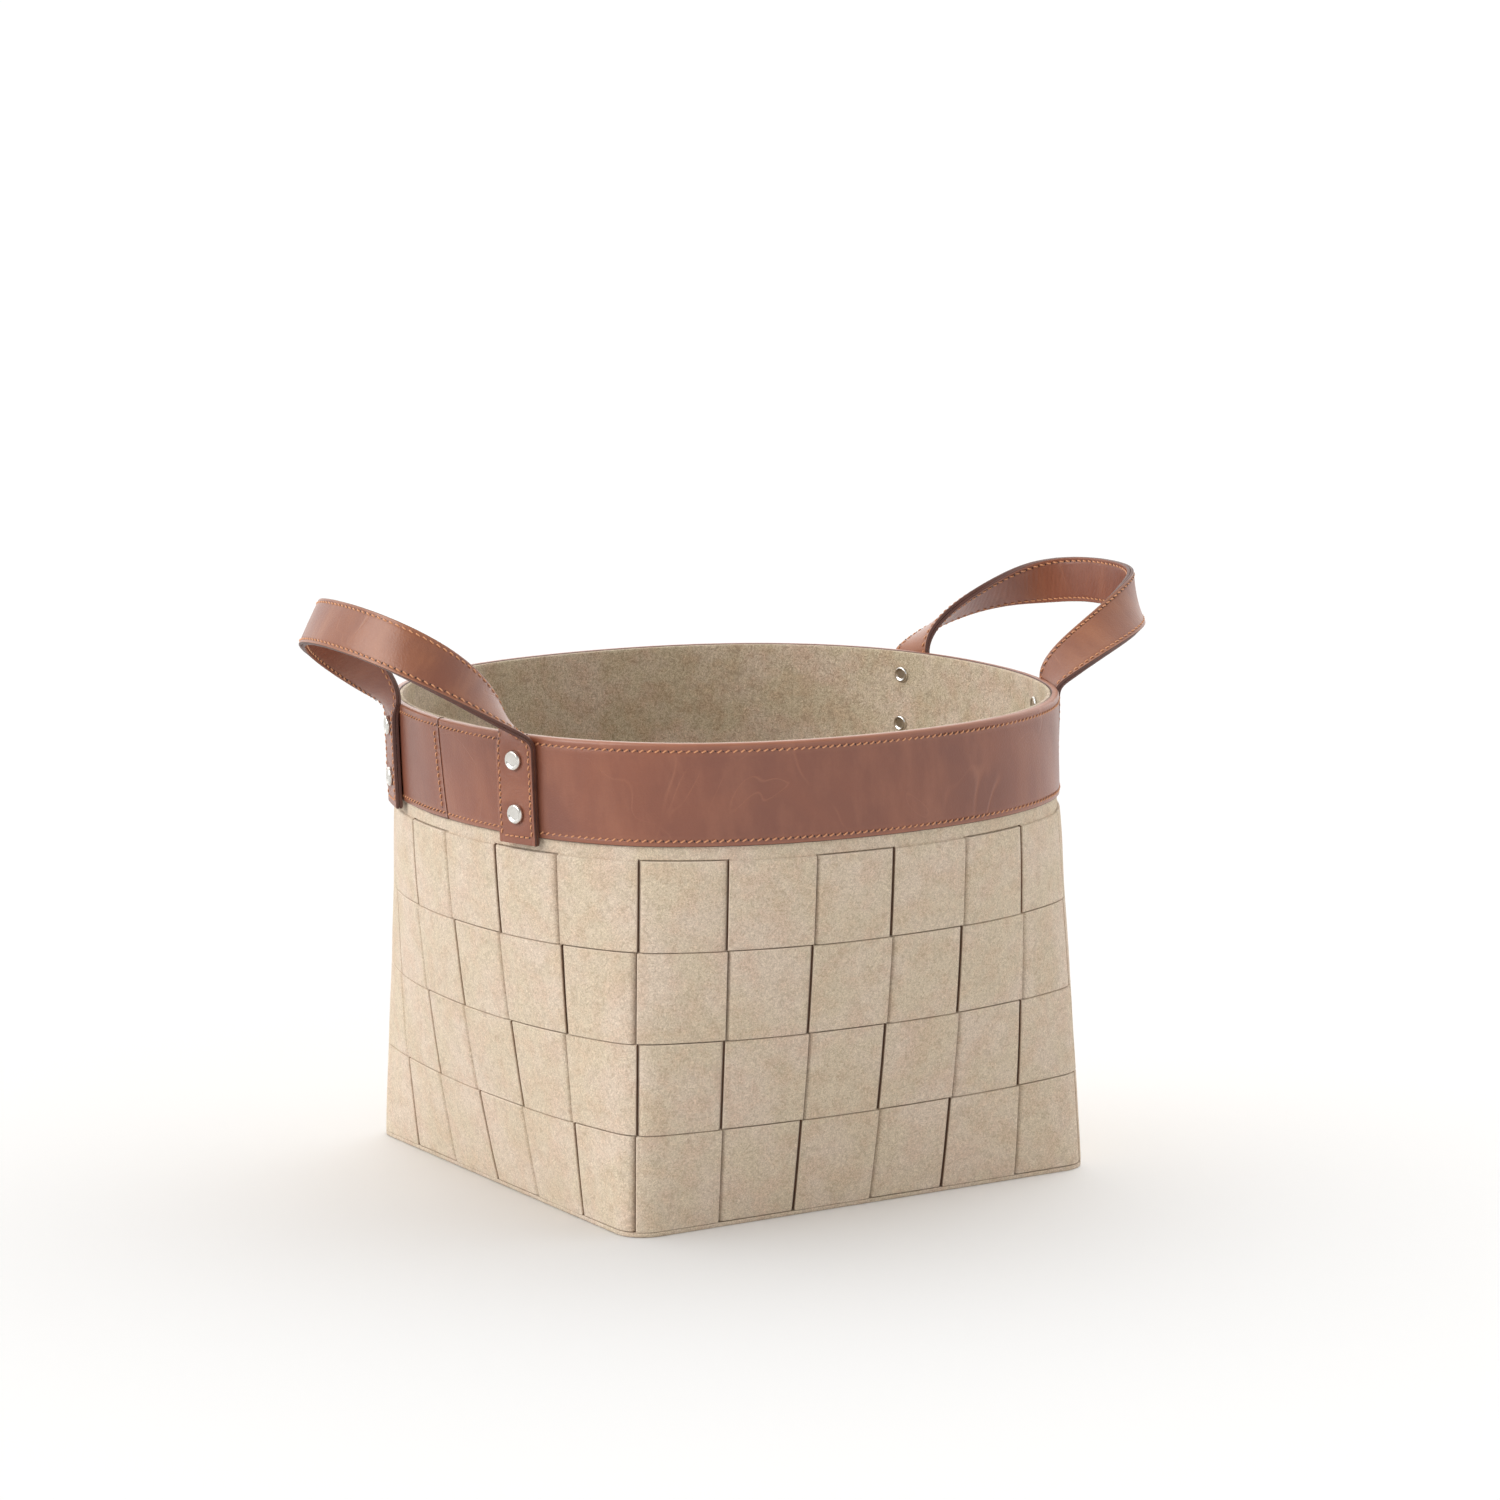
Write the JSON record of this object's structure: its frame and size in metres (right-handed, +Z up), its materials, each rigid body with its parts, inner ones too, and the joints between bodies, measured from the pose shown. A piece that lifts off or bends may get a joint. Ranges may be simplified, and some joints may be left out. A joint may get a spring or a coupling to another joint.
{
  "type": "fabric storage bin",
  "caption": "Woven felt storage bin, square at the base and round at the rim, with a leather rim band and riveted leather strap handles.",
  "frame": {"origin": "on the floor, at the middle of the square base", "axes": "+Z up; the handles point along -X (left) and +X (right), the front faces -Y"},
  "size_m": [0.4891, 0.3426, 0.3152],
  "materials": {
    "felt_weave": "heathered oatmeal wool felt, matt and slightly hairy",
    "felt_lining": "heathered oatmeal wool felt, plain sheet",
    "board": "plain grey stiffening board",
    "band_leather": "brown pull-up leather, satin, with faint crease marks",
    "strap_leather": "brown pull-up leather, satin, burnished cut edges",
    "rivet_nickel": "polished nickel",
    "thread": "waxed orange-tan sewing thread"
  },
  "bodies": {
    "bin": {"outer_shell": "felt_weave", "weft_strip_1": "felt_weave", "weft_strip_2": "felt_weave", "weft_strip_3": "felt_weave", "weft_strip_4": "felt_weave", "lining_wall": "felt_lining", "base_panel": "felt_weave", "base_board": "board", "base_lining": "felt_lining", "rim_band": "band_leather", "left_handle_face_front_tab": "strap_leather", "left_handle_face_rear_tab": "strap_leather", "left_handle_back_front_tab": "strap_leather", "left_handle_back_rear_tab": "strap_leather", "right_handle_face_front_tab": "strap_leather", "right_handle_face_rear_tab": "strap_leather", "right_handle_back_front_tab": "strap_leather", "right_handle_back_rear_tab": "strap_leather", "left_front_upper_rivet": "rivet_nickel", "left_front_lower_rivet": "rivet_nickel", "left_rear_upper_rivet": "rivet_nickel", "left_rear_lower_rivet": "rivet_nickel", "right_front_upper_rivet": "rivet_nickel", "right_front_lower_rivet": "rivet_nickel", "right_rear_upper_rivet": "rivet_nickel", "right_rear_lower_rivet": "rivet_nickel", "left_front_upper_rivet_back": "rivet_nickel", "left_front_lower_rivet_back": "rivet_nickel", "left_rear_upper_rivet_back": "rivet_nickel", "left_rear_lower_rivet_back": "rivet_nickel", "right_front_upper_rivet_back": "rivet_nickel", "right_front_lower_rivet_back": "rivet_nickel", "right_rear_upper_rivet_back": "rivet_nickel", "right_rear_lower_rivet_back": "rivet_nickel"},
    "left_handle": {"left_handle_face_arch": "strap_leather", "left_handle_back_arch": "strap_leather"},
    "right_handle": {"right_handle_face_arch": "strap_leather", "right_handle_back_arch": "strap_leather"}
  },
  "joints": [
    {"name": "left_handle_flex", "type": "hinge", "parent": "bin", "child": "left_handle", "pos_m": [-0.16772, 0, 0.255], "axis": [0, 1, 0], "range_deg": [-35, 50], "stiffness_Nm_per_rad": 0.5},
    {"name": "right_handle_flex", "type": "hinge", "parent": "bin", "child": "right_handle", "pos_m": [0.16883, 0, 0.255], "axis": [0, -1, 0], "range_deg": [-20, 65], "stiffness_Nm_per_rad": 0.5}
  ]
}
